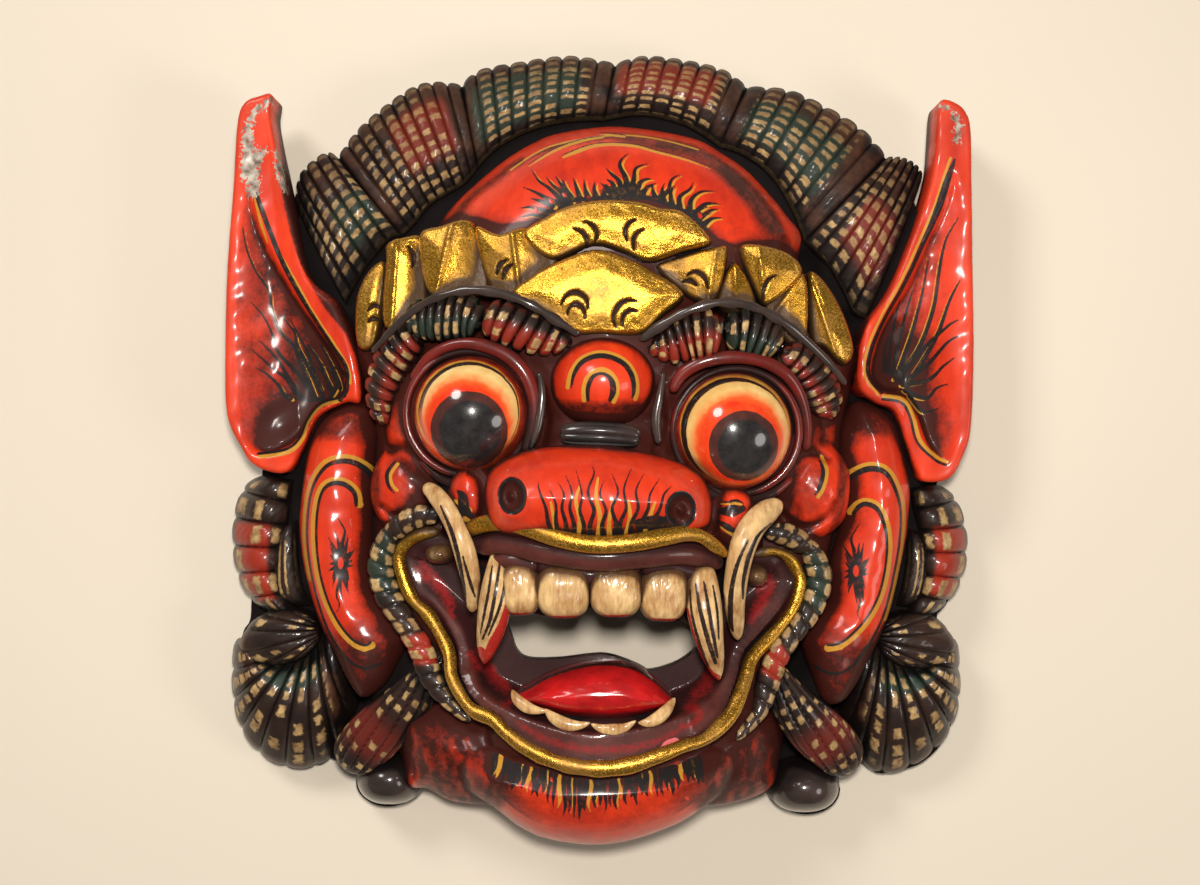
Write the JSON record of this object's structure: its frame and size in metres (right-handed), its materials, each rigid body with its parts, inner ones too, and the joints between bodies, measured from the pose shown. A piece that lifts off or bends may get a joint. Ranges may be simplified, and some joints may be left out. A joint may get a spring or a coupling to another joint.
{
  "type": "carved wooden mask",
  "caption": "Carved and painted wooden demon mask with bulging eyes, fanged open mouth, upright ears, gilt brow band and rolled hair, hollow behind.",
  "frame": {"origin": "middle of the mask's bounding box, on the surface that the rim rests on", "axes": "+X to the right of the picture, +Y from the chin to the crown, +Z out of the face"},
  "size_m": [0.3272, 0.3402, 0.1211],
  "materials": {
    "red_paint": "vermilion paint under gloss varnish, darkened in the hollows",
    "dark_hair": "brown-black paint with cream, green and red dashes",
    "gold_leaf": "burnished gold leaf with brown patina",
    "ivory_paint": "cream paint with brown stain",
    "mouth_paint": "maroon paint, satin",
    "bare_wood": "bare gouged wood, aged"
  },
  "bodies": {
    "root": {"mask": "red_paint"}
  },
  "joints": []
}
